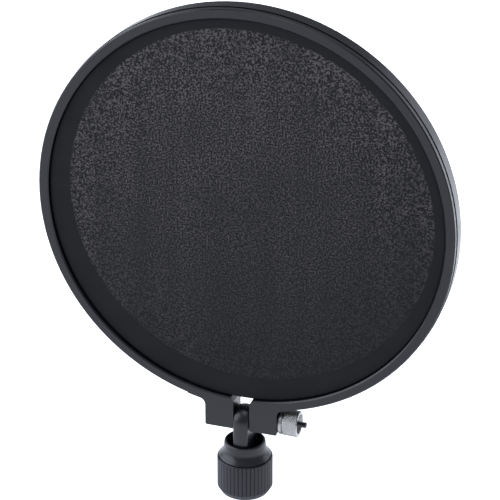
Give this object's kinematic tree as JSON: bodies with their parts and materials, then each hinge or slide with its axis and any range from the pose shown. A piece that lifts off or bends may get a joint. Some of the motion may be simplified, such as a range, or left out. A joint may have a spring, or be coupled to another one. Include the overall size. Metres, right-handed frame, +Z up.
{
  "type": "pop filter head",
  "caption": "Round double-layer mesh pop filter head: split clamp hoop with ears hinged on a swivel stem, knurled thumb nut and a ribbed threaded coupling nut below.",
  "frame": {"origin": "centre of the coupling nut's open lower end, where the gooseneck enters", "axes": "+Z up along the stem and nut axis, +X along the clamp bolt towards the thumb nut, -Y the front that faces the voice"},
  "size_m": [0.2, 0.0268, 0.2471],
  "materials": {
    "hoop_plastic": "satin moulded, blue-grey black",
    "grip_plastic": "satin moulded, ribbed grip",
    "stem_plastic": "satin moulded",
    "nylon_mesh": "fine open black nylon mesh",
    "nickel": "bright nickel plate, slightly dulled",
    "black_steel": "black oxide",
    "black_nylon": "matt black nylon",
    "brass": "machined"
  },
  "bodies": {
    "coupling": {"coupling_nut": "grip_plastic", "thread_insert": "brass"},
    "stem": {"swivel_stem": "stem_plastic", "pan_washer": "black_nylon"},
    "hoop": {"clamp_hoop": "hoop_plastic", "inner_hoop": "hoop_plastic", "front_mesh": "nylon_mesh", "rear_mesh": "nylon_mesh", "clamp_bolt": "black_steel", "ear_washer": "black_nylon", "friction_washers": "black_nylon"},
    "clamp_washer": {"plain_washer": "nickel"},
    "thumb_nut": {"thumb_nut": "nickel"}
  },
  "joints": [
    {"name": "stem_pan", "type": "hinge", "parent": "coupling", "child": "stem", "pos_m": [0, 0, 0], "axis": [0, 0, 1], "continuous": true},
    {"name": "hoop_tilt", "type": "hinge", "parent": "stem", "child": "hoop", "pos_m": [0, 0, 0.0407], "axis": [1, 0, 0], "range_deg": [-90, 90]},
    {"name": "nut_travel", "type": "slide", "parent": "hoop", "child": "clamp_washer", "axis": [1, 0, 0], "range_m": [0, 0.0015]},
    {"name": "nut_spin", "type": "hinge", "parent": "clamp_washer", "child": "thumb_nut", "pos_m": [0.0237, 0, 0.0407], "axis": [1, 0, 0], "range_deg": [0, 1080]}
  ],
  "couplings": [
    {"joint": "nut_travel", "follows": "nut_spin", "m_per_rad": 0.00007957}
  ]
}
